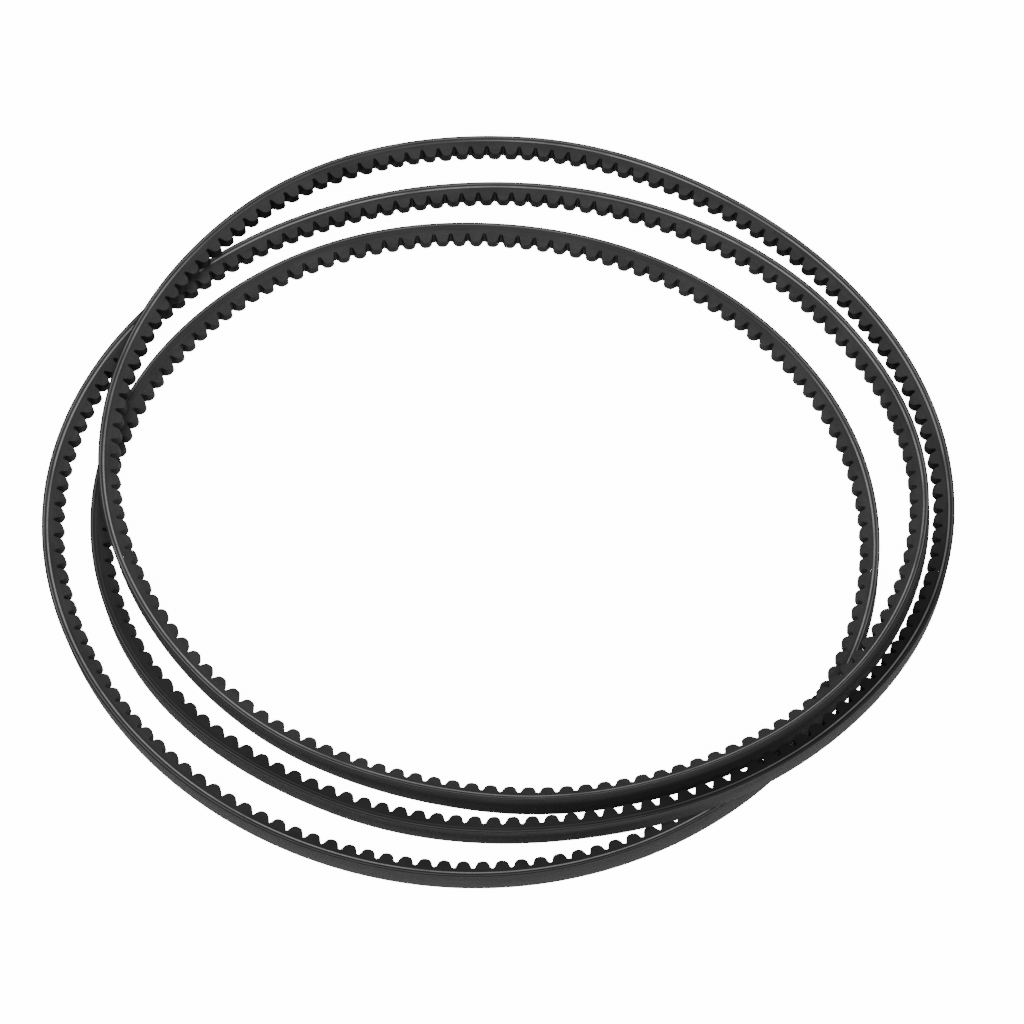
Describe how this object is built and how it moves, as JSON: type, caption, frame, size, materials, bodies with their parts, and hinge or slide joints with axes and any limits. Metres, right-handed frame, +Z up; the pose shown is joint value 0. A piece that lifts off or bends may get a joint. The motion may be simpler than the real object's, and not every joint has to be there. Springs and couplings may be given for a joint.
{
  "type": "v belt",
  "caption": "Endless narrow V-belt with raw edges and moulded cogs, coiled in turns and lying on its side.",
  "frame": {"origin": "middle of the coil's box, on the surface that the belt lies on", "axes": "+Z up, across the belt's width; X and Y in the plane of the coil, +X along its longer way, -Y towards the viewer"},
  "size_m": [0.3672, 0.3438, 0.0196],
  "materials": {
    "back_cloth": "matte rubberised cloth",
    "overcord_rubber": "matte ground rubber",
    "cushion_rubber": "matte ground rubber",
    "tensile_cord": "cut and ground polyester cord",
    "cogged_rubber": "matte ground rubber with short fibres"
  },
  "bodies": {
    "root": {"back_cloth": "back_cloth", "overcord_rubber": "overcord_rubber", "upper_cushion_rubber": "cushion_rubber", "tensile_cord_1": "tensile_cord", "tensile_cord_2": "tensile_cord", "tensile_cord_3": "tensile_cord", "tensile_cord_4": "tensile_cord", "tensile_cord_5": "tensile_cord", "tensile_cord_6": "tensile_cord", "tensile_cord_7": "tensile_cord", "lower_cushion_rubber": "cushion_rubber", "cogged_compression_rubber": "cogged_rubber"}
  },
  "joints": []
}
